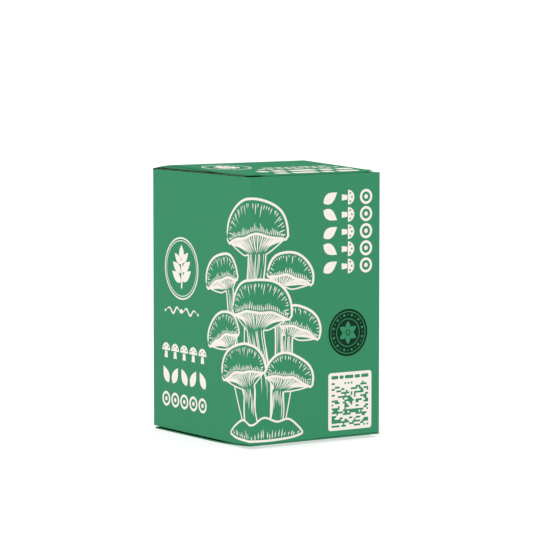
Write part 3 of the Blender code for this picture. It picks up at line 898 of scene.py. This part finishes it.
class KIT_OT_sleeve(bpy.types.Operator):
    """Print the artwork round the carton's four walls"""

    bl_idname = "kit.sleeve"
    bl_label = "Printed walls"

    def execute(self, context):
        source = board_shape("carton_sleeve")
        source.normal_update()

        def is_outside(face):
            n, c = face.normal, face.calc_center_median()
            side_wall = abs(n.x) > 0.3 and n.x * c.x > 0 and abs(c.x) > HALF_WIDTH - PLY
            end_wall = abs(n.y) > 0.3 and n.y * c.y > 0 and abs(c.y) > HALF_DEPTH - PLY
            return abs(n.z) < 0.3 and (side_wall or end_wall)

        def turn_of(point):
            return (atan2(point.y, point.x) - first_turn + 1e-7) % (2 * pi)

        def left_crease(forward):
            """The middle of the left crease at the front, or at the back if forward is -1."""

            def distance(place):
                x, y = place[0], forward * place[1]
                return x / HALF_WIDTH + y / HALF_DEPTH + 20 * abs((x + HALF_WIDTH) - (y + HALF_DEPTH))

            return min(places, key=distance)

        skin = [face for face in source.faces if is_outside(face)]
        places = {(round(v.co.x, 6), round(v.co.y, 6)) for face in skin for v in face.verts}
        source.free()
        corner = left_crease(1)
        first_turn = atan2(corner[1], corner[0])
        ring = sorted(places, key=lambda p: turn_of(Vector(p)))
        lengths, total = {}, 0.0
        for a, b in zip(ring, ring[1:] + ring[:1]):
            lengths[a] = total
            total += hypot(b[0] - a[0], b[1] - a[1])
        seam_turn = turn_of(Vector(left_crease(-1)))
        half = total / MM / 2

        def flatten(face):
            past_seam = turn_of(face.calc_center_median()) > seam_turn
            flat = []
            for vert in face.verts:
                length = lengths[(round(vert.co.x, 6), round(vert.co.y, 6))]
                if past_seam and length > 0:
                    length -= total
                flat.append((length / MM, vert.co.z / MM))
            return flat

        width = 404
        first_half, second_half, side_insides, other_insides = (137, 0), (3, 203), (200, 203), (336, 203)

        def place_on_map(face, place, flat):
            if flat is not None:
                if flat[0] < half + 1e-3 and start_of_wall(face) < half:
                    return on_map(flat[0], flat[1], first_half, width)
                return on_map(flat[0] - half, flat[1], second_half, width)
            if abs(face.normal.x) > abs(face.normal.y):
                return on_map(place.y / MM, place.z / MM, side_insides, width)
            return on_map(place.x / MM, place.z / MM, other_insides, width)

        def start_of_wall(face):
            turned = turn_of(face.calc_center_median())
            if turned > seam_turn:
                return -1.0
            return total / MM if turned > turn_of(Vector((HALF_WIDTH, HALF_DEPTH))) else 0.0

        art = wall_artwork(half)
        piece = printed_board("printed_sleeve", "carton_sleeve", is_outside, flatten, art, place_on_map)
        for material in print_materials(wear=0.12):
            piece.data.materials.append(material)
        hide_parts("carton_sleeve")
        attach(piece, "carton")
        return {"FINISHED"}


class KIT_OT_lid(bpy.types.Operator):
    """Print the top of the lid"""

    bl_idname = "kit.lid"
    bl_label = "Printed lid"

    def execute(self, context):
        width, top, rest = 300, (62, 70), (190, 70)
        low_from, low_to, lowered = -16 * MM, 60 * MM, 0.2 * MM
        painted_shade_from = 54 * MM

        def is_top(face):
            return face.normal.z > 0.6

        def flatten(face):
            return [(vert.co.x / MM, vert.co.y / MM) for vert in face.verts]

        def place_on_map(face, place, flat):
            if flat is not None:
                return on_map(flat[0], flat[1], top, width)
            return on_map(place.x / MM, place.y / MM, rest, width)

        piece = printed_board("printed_lid", "top_lid", is_top, flatten, lid_artwork(), place_on_map)
        underside = set()
        for polygon in piece.data.polygons:
            way = polygon.normal
            if way.z < -0.6:
                underside.update(polygon.vertices)
            elif polygon.material_index == BARE and not (way.x > 0.3 and way.y < -0.3):
                polygon.material_index = EDGE
            # Left-facing edge faces at the back of the lid get the dark green ink: a painted shade for the dark gap
            # under the lid's back-left edge.
            if way.x < -0.7 and polygon.center.y > painted_shade_from:
                polygon.material_index = DARK
        for index in underside:
            at = piece.data.vertices[index].co
            if abs(at.x) > HALF_WIDTH - 0.4 * MM and low_from < at.y < low_to:
                at.z -= lowered
        for material in print_materials(gloss=0.003):
            piece.data.materials.append(material)
        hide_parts("top_lid")
        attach(piece, "lid")
        return {"FINISHED"}


class KIT_OT_folded_panels(bpy.types.Operator):
    """Finish the tongues, the dust flaps and the base panel"""

    bl_idname = "kit.folded_panels"
    bl_label = "Folded panels"

    def execute(self, context):
        ways = {
            (0.0, -1.0, 0.0): ["top_tuck_tongue"],
            (0.0, 0.0, 1.0): ["top_dust_flap_left", "top_dust_flap_right"],
            (0.0, 0.0, -1.0): ["bottom_lid", "bottom_dust_flap_left", "bottom_dust_flap_right"],
            (0.0, 1.0, 0.0): ["bottom_tuck_tongue"],
        }
        for number, (way, nodes) in enumerate(ways.items(), 1):
            material = folded_panel_material(f"Folded board {number}", way)
            for node in nodes:
                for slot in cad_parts[node].material_slots:
                    slot.material = material
        return {"FINISHED"}


# ---------------------------------------------------------------- modelling the contents


def deselect_all():
    if bpy.context.object and bpy.context.object.mode != "OBJECT":
        bpy.ops.object.mode_set(mode="OBJECT")
    bpy.ops.object.select_all(action="DESELECT")


def settle(name, size=(1, 1, 1)):
    """Names the new piece, and moves its place, turn and size into its mesh."""
    piece = bpy.context.active_object
    piece.name = piece.data.name = name
    piece.scale = size
    bpy.ops.object.transform_apply(location=True, rotation=True, scale=True)
    return piece


def add_box(name, low, high):
    deselect_all()
    bpy.ops.mesh.primitive_cube_add(size=1, location=(Vector(low) + Vector(high)) / 2)
    return settle(name, Vector(high) - Vector(low))


def add_bar(name, start, end, radius, sides):
    """A bar from start to end, along X or Y."""
    start, end = Vector(start), Vector(end)
    along_x = abs(end.x - start.x) > abs(end.y - start.y)
    deselect_all()
    bpy.ops.mesh.primitive_cylinder_add(
        vertices=sides,
        radius=radius,
        depth=(end - start).length,
        location=(start + end) / 2,
        rotation=(0, radians(90), 0) if along_x else (radians(90), 0, 0),
    )
    return settle(name)


def turn_faces_out():
    """Turns the faces of the active piece outwards."""
    bpy.ops.object.mode_set(mode="EDIT")
    bpy.ops.mesh.select_all(action="SELECT")
    bpy.ops.mesh.normals_make_consistent(inside=False)
    bpy.ops.object.mode_set(mode="OBJECT")


def select_only(piece, kind, wanted):
    """Goes to edit mode with only the wanted vertices or faces selected."""
    bpy.ops.object.mode_set(mode="EDIT")
    bpy.ops.mesh.select_mode(type=kind)
    bpy.ops.mesh.select_all(action="DESELECT")
    bpy.ops.object.mode_set(mode="OBJECT")
    for item in piece.data.polygons if kind == "FACE" else piece.data.vertices:
        item.select = wanted(item)
    bpy.ops.object.mode_set(mode="EDIT")


def modify(piece, kind, **settings):
    modifier = piece.modifiers.new(kind.title(), kind)
    for key, value in settings.items():
        setattr(modifier, key, value)
    bpy.context.view_layer.objects.active = piece
    bpy.ops.object.modifier_apply(modifier=modifier.name)


def smooth(piece, angle):
    deselect_all()
    piece.select_set(True)
    bpy.context.view_layer.objects.active = piece
    bpy.ops.object.shade_smooth_by_angle(angle=radians(angle))


def ease(value):
    value = min(max(value, 0.0), 1.0)
    return value * value * (3 - 2 * value)


def crumple(x, y, z, seed):
    """The height of crumpled film, from 0 to 1, with sharp crests."""
    at = Vector((x, y, z + 5.3 * seed))
    at += 0.5 * noise.noise_vector(0.8 * at)
    return (1 - min(abs(noise.noise(at)) * 1.6, 1.0)) ** 2


def film_material(name, alpha, deep, pale, stretch):
    """Thin clear film that turns milky where it is creased. With no alpha it is many layers deep."""
    material, tree, shader = new_material(
        name, Specular_IOR_Level=0.65, IOR=1.5, Coat_Weight=0.4, Coat_Roughness=0.06
    )
    skin = use_group(tree, "Creased film", Stretch=stretch, Deep=(*deep, 1.0), Pale=(*pale, 1.0))
    join_skin(tree, shader, *skin.outputs[:3])
    if alpha:
        plug_named(tree, shader, Alpha=maths(tree, "ADD", skin.outputs["Cloud"], alpha, clamp=True))
    return material


def colour_ramp(tree, value, first, last):
    node = wire(tree, "ValToRGB", Fac=value)
    for element, colour in zip(node.color_ramp.elements, (first, last)):
        element.color = (*colour, 1.0)
    return node.outputs["Color"]


def mycelium_material():
    """Sawdust and grain, mostly grown over by white threads."""
    material, tree, shader = new_material("Mycelium on sawdust", Specular_IOR_Level=0.25, Sheen_Weight=0.3)
    place = object_place(tree)
    patches = clouds(tree, place, 42.0, 6.0, Roughness=0.62)
    crumbs = wire(tree, "TexVoronoi", Vector=place, Scale=420.0).outputs["Distance"]
    threads = clouds(tree, place, 260.0, 6.0, Roughness=0.75, Distortion=1.6)
    sawdust = colour_ramp(tree, crumbs, (0.12, 0.052, 0.020), (0.44, 0.24, 0.10))
    threading = colour_ramp(tree, threads, (0.66, 0.58, 0.46), (0.95, 0.92, 0.86))
    grown = maths(tree, "MULTIPLY_ADD", patches, 5.5, -2.25)
    grown = maths(tree, "MULTIPLY_ADD", maths(tree, "SUBTRACT", threads, 0.5), 1.6, grown, clamp=True)
    colour = blend_colour(tree, grown, sawdust, threading)
    height = maths(tree, "MULTIPLY_ADD", crumbs, 0.6, threads)
    rough = maths(tree, "MULTIPLY_ADD", grown, 0.2, 0.75)
    join_skin(tree, shader, colour, rough, bump(tree, 0.8, 1.2 * MM, height))
    return material


def filter_paper_material():
    """Pressed white fibres, dimpled all over by the rollers that bond them."""
    material, tree, shader = new_material("Filter paper", Specular_IOR_Level=0.3)
    place = object_place(tree)
    dimples = wire(tree, "TexVoronoi", Vector=place, Scale=620.0, Randomness=0.0).outputs["Distance"]
    fibres = clouds(tree, place, 900.0, 4.0, Roughness=0.8, Distortion=2.0)
    shade = blend_colour(tree, fibres, (0.70, 0.70, 0.68, 1.0), (0.90, 0.90, 0.88, 1.0))
    height = maths(tree, "MULTIPLY_ADD", fibres, 0.35, dimples)
    rough = maths(tree, "MULTIPLY_ADD", fibres, 0.15, 0.78)
    join_skin(tree, shader, shade, rough, bump(tree, 0.6, 0.4 * MM, height))
    return material


def take_place_of(piece, node, material, body="carton"):
    """Gives a piece its only material and its body, in place of a CAD node."""
    piece.data.materials.clear()
    piece.data.materials.append(material)
    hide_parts(node)
    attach(piece, body)


class KIT_OT_block(bpy.types.Operator):
    """Model the block of substrate that the mycelium has grown through"""

    bl_idname = "kit.block"
    bl_label = "Substrate block"

    def execute(self, context):
        sizes = context.scene.kit_bag
        low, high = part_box("substrate_block")
        piece = add_box("grown_block", low, high)
        modify(piece, "BEVEL", width=9 * MM, segments=4, limit_method="NONE")
        modify(piece, "REMESH", mode="VOXEL", voxel_size=2.6 * MM)
        shift = Vector((0.031, 0.017, 0.0)) * (sizes.seed + 1)
        for scale, depth in ((0.022, 0.65), (0.006, 0.35)):
            texture = bpy.data.textures.new("Lumps", "CLOUDS")
            texture.noise_scale, texture.noise_depth = scale, 3
            hold = bpy.data.objects.new("Relief place", None)
            context.scene.collection.objects.link(hold)
            hold.location = shift
            modify(
                piece,
                "DISPLACE",
                texture=texture,
                strength=depth * sizes.lump,
                mid_level=1.0,
                texture_coords="OBJECT",
                texture_coords_object=hold,
            )
            bpy.data.objects.remove(hold)
        smooth(piece, 60)
        take_place_of(piece, "substrate_block", mycelium_material())
        return {"FINISHED"}


class KIT_OT_film(bpy.types.Operator):
    """Model the crinkled film round the block, gathered in pleats on its top"""

    bl_idname = "kit.film"
    bl_label = "Bag film"

    def execute(self, context):
        sizes = context.scene.kit_bag
        low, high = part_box("substrate_block")
        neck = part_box("bag_neck")[1]
        low = low - Vector((0.5, 0.5, 0.45)) * MM
        high = high + Vector((0.5, 0.5, 0.16)) * MM
        wall, shoulder, gap = 6 * MM, 7 * MM, 0.4 * MM
        piece = add_box("block_film", low, high)
        modify(piece, "BEVEL", width=8.4 * MM, segments=5, limit_method="NONE")
        modify(piece, "REMESH", mode="VOXEL", voxel_size=1.65 * MM)
        for vert in piece.data.vertices:
            at = vert.co
            fade = ease((at.z - low.z - 3 * MM) / (12 * MM)) * ease((high.z - 2 * MM - at.z) / (8 * MM))
            if fade:
                long = crumple(at.x * 55, at.y * 55, at.z * 16, sizes.seed)
                short = crumple(at.x * 130, at.y * 130, at.z * 90, sizes.seed + 1)
                away = Vector((at.x * (abs(at.x) > high.x - wall), at.y * (abs(at.y) > high.y - wall), 0))
                at += away.normalized() * fade * sizes.crinkle * (1.3 * long + 0.6 * short)
            out = max((abs(at.y) - neck.y - gap) / (high.y - neck.y), (abs(at.x) - neck.x - gap) / (4 * MM))
            if at.z > high.z - shoulder and out > 0:
                near = ease(1.05 - out)
                pleat = crumple(at.x * 115, at.y * 22, 0, sizes.seed + 2)
                short = crumple(at.x * 190, at.y * 120, 0, sizes.seed + 3)
                at.z += near * (0.6 + 3.4 * pleat + 0.7 * short) * MM
            if at.y > SEAM_TAB_Y:
                at.x = max(at.x, SEAM_TAB_X)
        modify(piece, "SOLIDIFY", thickness=0.12 * MM, offset=-1.0)
        smooth(piece, 50)
        film = film_material("Clear film", 0.09, (0.66, 0.67, 0.64), (0.86, 0.87, 0.85), (1.0, 1.0, 0.45))
        take_place_of(piece, "bag_film", film)
        return {"FINISHED"}


def folded_profile(low, high):
    """The line of the neck from front to back: folded flat in layers, and rolled up on top of them."""
    pitch = 0.9 * MM
    front, back = low.y + pitch, high.y - pitch
    line = []
    z = low.z + 0.3 * MM
    for layer in range(5):
        steps = 30 if layer == 4 else 8
        start, end = (back, front) if layer % 2 else (front, back)
        line += [(start + (end - start) * i / steps, z) for i in range(steps + 1)]
        side = -1 if layer % 2 else 1
        for a in (-45, 0, 45):
            line.append((end + side * pitch / 2 * cos(radians(a)), z + pitch / 2 * (1 + sin(radians(a)))))
        z += pitch
    line += [(back - (back - 2 * MM) * i / 18, z) for i in range(18)]
    roll_y, roll_z, turns, points = 10.2 * MM, 2.5 * MM, 2.6, 54
    for i in range(points + 1):
        a = radians(-90) - 2 * pi * turns * i / points
        shrink = 1 - 0.72 * i / points
        line.append((roll_y * shrink * cos(a), z + roll_z + roll_z * shrink * sin(a)))
    return line


class KIT_OT_neck(bpy.types.Operator):
    """Model the neck of the bag, folded flat in layers and rolled up once more"""

    bl_idname = "kit.neck"
    bl_label = "Folded neck"

    def execute(self, context):
        sizes = context.scene.kit_bag
        low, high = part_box("bag_neck")
        patch_low, patch_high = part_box("filter_patch")
        line = folded_profile(low, high)
        y, z = line[0]
        deselect_all()
        bpy.ops.mesh.primitive_plane_add(size=1, location=(0, y - 0.5, z))
        piece = settle("folded_neck", (2 * (high.x - 0.8 * MM), 1, 1))
        select_only(piece, "VERT", lambda vert: vert.co.y < y - 0.5)
        bpy.ops.mesh.delete(type="VERT")
        bpy.ops.mesh.select_all(action="SELECT")
        bpy.ops.mesh.subdivide(number_cuts=47)
        bpy.ops.mesh.select_mode(type="EDGE")
        bpy.ops.mesh.select_all(action="SELECT")
        for here, there in zip(line, line[1:]):
            step = (0, there[0] - here[0], there[1] - here[1])
            bpy.ops.mesh.extrude_region_move(TRANSFORM_OT_translate={"value": step})
        turn_faces_out()
        modify(piece, "SUBSURF", levels=1, render_levels=1)
        layers_top = patch_low.z - 0.9 * MM
        flat_layers, flat_border, half_patch = 2 * MM, 1.5 * MM, 14 * MM
        for vert in piece.data.vertices:
            at = vert.co
            beside = max(abs(at.x) - patch_high.x, abs(at.y - (patch_low.y + patch_high.y) / 2) - half_patch)
            free = ease((beside - flat_border) / (7 * MM))
            lift = ease((at.z - low.z - flat_layers) / (layers_top - low.z - flat_layers))
            long = crumple(at.x * 32, at.y * 66, 0, sizes.seed + 4)
            short = crumple(at.x * 120, at.y * 150, at.z * 30, sizes.seed + 5)
            at.z += lift * free * (2.3 * long + 0.9 * short) * MM
            at.z -= (1 - free) * lift * 0.15 * short * MM
            at.y += 0.5 * lift * free * noise.noise(Vector((at.x * 60, at.y * 30, at.z * 200))) * MM
            at.x += 0.9 * MM * (at.x / high.x) ** 3 * noise.noise(Vector((at.y * 60, at.z * 900, 2.0)))
        modify(piece, "SOLIDIFY", thickness=sizes.film, offset=0.0)
        turn_faces_out()
        smooth(piece, 50)
        film = film_material("Folded film", 0, (0.47, 0.46, 0.41), (0.79, 0.80, 0.77), (0.55, 1.5, 1.0))
        take_place_of(piece, "bag_neck", film)
        return {"FINISHED"}


class KIT_OT_patch(bpy.types.Operator):
    """Model the breathing patch, with the border that is welded to the film"""

    bl_idname = "kit.patch"
    bl_label = "Filter patch"

    def execute(self, context):
        low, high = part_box("filter_patch")
        piece = add_box("breathing_patch", low, high)
        modify(piece, "BEVEL", width=0.14 * MM, segments=2, limit_method="NONE")
        select_only(piece, "FACE", lambda face: face.normal.z > 0.99)
        for border, step, rise in ((0.4, 0.25, -0.18), (2.6, 0.3, 0.17)):
            bpy.ops.mesh.inset(thickness=border * MM)
            bpy.ops.mesh.inset(thickness=step * MM)
            bpy.ops.transform.translate(value=(0, 0, rise * MM))
        bpy.ops.object.mode_set(mode="OBJECT")
        smooth(piece, 30)
        take_place_of(piece, "filter_patch", filter_paper_material())
        return {"FINISHED"}


def crease_roll(name, start, end, radius):
    """A thin round bar with softened ends, in a crease."""
    piece = add_bar(name, start, end, radius, 16)
    modify(piece, "BEVEL", width=0.4 * radius, segments=2)
    smooth(piece, 50)
    return piece


def flap_web(name, sign, rows):
    """The board that bends from a side wall into its flap: a five-sided bar in rows that are set one by one."""
    sides = 5
    piece = add_bar(name, (0, rows[0][0] * MM, 0), (0, rows[-1][0] * MM, 0), MM, sides)
    bpy.ops.object.mode_set(mode="EDIT")
    for y, _, _ in rows[1:-1]:
        bpy.ops.mesh.select_all(action="SELECT")
        bpy.ops.mesh.bisect(plane_co=(0, y * MM, 0), plane_no=(0, 1, 0))
    bpy.ops.object.mode_set(mode="OBJECT")
    root, inside, outside = (HALF_WIDTH / MM - inset for inset in FLAP_WEB_INSETS)
    for vertex in piece.data.vertices:
        y, low, high = min(rows, key=lambda row: abs(row[0] * MM - vertex.co.y))
        corners = (root, high), (root, low), (inside, 0.05), (outside, 0.55), (outside, high)
        x, z = corners[round((atan2(vertex.co.z, vertex.co.x) - pi / 2) / (2 * pi / sides)) % sides]
        vertex.co = Vector((sign * x * MM, y * MM, WALLS_TOP + z * MM))
    turn_faces_out()
    return piece


class KIT_OT_creases(bpy.types.Operator):
    """Model the board where it bends over the creases of the lid, the top flaps and the base, with painted shade on
    the outer faces of the side walls' rolls and webs
    """

    bl_idname = "kit.creases"
    bl_label = "Creases"

    def execute(self, context):
        colours = context.scene.kit_colours
        green = board_material("Creased board", colours.green, 0.65, mottle=0.05, fibre=0.2, gloss=0.1)
        # Near-black painted shade: the outer faces of the wall rolls and the flap webs are painted it, for the dark
        # gap between the side walls and the lid.
        shade = [0.4 * part for part in colours.dark]
        painted_shade = board_material("Shaded crease", shade, 0.8, mottle=0.1, fibre=0.2, gloss=0.02)
        bare = board_material("Bare crease", colours.bare, 0.85, mottle=0.22, fibre=0.5)
        reach = HALF_WIDTH - PLY
        base = (-HALF_DEPTH + 0.2 * MM, BASE_FOLD_Z)
        lid = crease_roll("lid_crease_roll", (-reach, *LID_AXIS), (reach, *LID_AXIS), 0.19 * MM)
        fold = crease_roll("base_crease_roll", (-reach, *base), (1.0 * MM, *base), 0.14 * MM)
        for piece, body in ((lid, "lid"), (fold, "carton")):
            piece.data.materials.append(green)
            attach(piece, body)

        for side, sign in (("left", -1), ("right", 1)):
            x, z = sign * (HALF_WIDTH - WALL_ROLL_PLACE), WALLS_TOP + WALL_ROLL_PLACE
            ends = ((x, y, z) for y in (WALL_ROLL_FRONT[side], WALL_ROLL_BACK))
            roll = crease_roll(f"{side}_wall_crease_roll", *ends, 0.22 * MM)
            web = flap_web(f"{side}_flap_crease_web", sign, FLAP_WEB_FRONT[side] + FLAP_WEB_ROWS)
            for piece, body in ((roll, "carton"), (web, f"{side}_flap")):
                piece.data.materials.append(painted_shade)
                piece.data.materials.append(bare)
                # Faces seen from outside get the painted shade; faces on the inside of the bend are bare.
                for face in piece.data.polygons:
                    outward = face.normal.x * sign
                    bare_side = outward < 0.4 if piece is roll else outward < -0.3 or face.normal.z < -0.3
                    face.material_index = int(bare_side)
                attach(piece, body)
        return {"FINISHED"}


class KIT_OT_stage(bpy.types.Operator):
    """Set the floor, the lights and the camera"""

    bl_idname = "kit.stage"
    bl_label = "Stage"

    def execute(self, context):
        sizes = context.scene.kit_stage
        deselect_all()
        bpy.ops.mesh.primitive_plane_add(size=sizes.floor, location=(0, 0, 0))
        floor = context.active_object
        floor.name = "floor"
        material, _, _ = new_material(
            "Pale floor",
            Roughness=0.9,
            Specular_IOR_Level=0.2,
            Base_Color=(0.45, 0.45, 0.45, 1.0),
            Emission_Color=WHITE,
            Emission_Strength=0.60,
        )
        floor.data.materials.append(material)

        world = bpy.data.worlds.new("Soft white room")
        world.use_nodes = True
        plug_named(world.node_tree, world.node_tree.nodes["Background"], Color=WHITE, Strength=1.05)
        context.scene.world = world
        for name, way, power, softness in (
            ("Left window light", (0.62, 0.34, -0.70), 0.50, 35),
            ("Right window light", (-0.60, 0.20, -0.77), 0.10, 45),
        ):
            deselect_all()
            bpy.ops.object.light_add(type="SUN", location=Vector(way) * -3)
            lamp = context.active_object
            lamp.name = name
            lamp.data.energy = power
            lamp.data.angle = radians(softness)
            lamp.rotation_euler = Vector(way).to_track_quat("-Z", "Y").to_euler()

        turn, rise = sizes.turn, sizes.rise
        back = Vector((sin(turn) * cos(rise), -cos(turn) * cos(rise), sin(rise)))
        right = Vector((cos(turn), sin(turn), 0))
        up = back.cross(right)
        middle = Vector((0, 0, (SLEEVE_LOW.z + WALLS_TOP) / 2))
        target = middle + right * sizes.aim[0] + up * sizes.aim[1]
        bpy.ops.object.camera_add(location=target + back * sizes.distance)
        camera = context.active_object
        camera.rotation_euler = Matrix((right, up, back)).transposed().to_euler()
        camera.data.lens = sizes.lens
        camera.data.sensor_width = 36.0
        camera.data.clip_end = 100.0
        context.scene.camera = camera
        context.scene.view_settings.view_transform = "Standard"
        return {"FINISHED"}


OPERATORS = (
    KIT_OT_stage,
    KIT_OT_sleeve,
    KIT_OT_lid,
    KIT_OT_folded_panels,
    KIT_OT_creases,
    KIT_OT_block,
    KIT_OT_film,
    KIT_OT_neck,
    KIT_OT_patch,
)


class KIT_PT_panel(bpy.types.Panel):
    bl_idname = "KIT_PT_panel"
    bl_label = "Grow kit"
    bl_space_type = "VIEW_3D"
    bl_region_type = "UI"
    bl_category = "Grow kit"

    def draw(self, context):
        for operator in OPERATORS:
            self.layout.operator(operator.bl_idname)
        for group in SETTINGS:
            box = self.layout.box()
            settings = getattr(context.scene, group)
            for name in settings.bl_rna.properties.keys():
                if name not in {"rna_type", "name"}:
                    box.prop(settings, name)


SETTINGS = {
    "kit_colours": PrintColours,
    "kit_artwork": ArtworkSizes,
    "kit_bag": BagSizes,
    "kit_stage": StageSizes,
}
CLASSES = (*SETTINGS.values(), *OPERATORS, KIT_PT_panel)


def register():
    for cls in CLASSES:
        bpy.utils.register_class(cls)
    for name, group in SETTINGS.items():
        setattr(bpy.types.Scene, name, PointerProperty(type=group))


def unregister():
    for name in SETTINGS:
        delattr(bpy.types.Scene, name)
    for cls in reversed(CLASSES):
        bpy.utils.unregister_class(cls)


def main():
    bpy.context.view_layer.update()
    register()
    bpy.ops.kit.stage()
    bpy.ops.kit.sleeve()
    bpy.ops.kit.lid()
    bpy.ops.kit.folded_panels()
    bpy.ops.kit.creases()
    bpy.ops.kit.block()
    bpy.ops.kit.film()
    bpy.ops.kit.neck()
    bpy.ops.kit.patch()


if __name__ == "__main__":
    main()
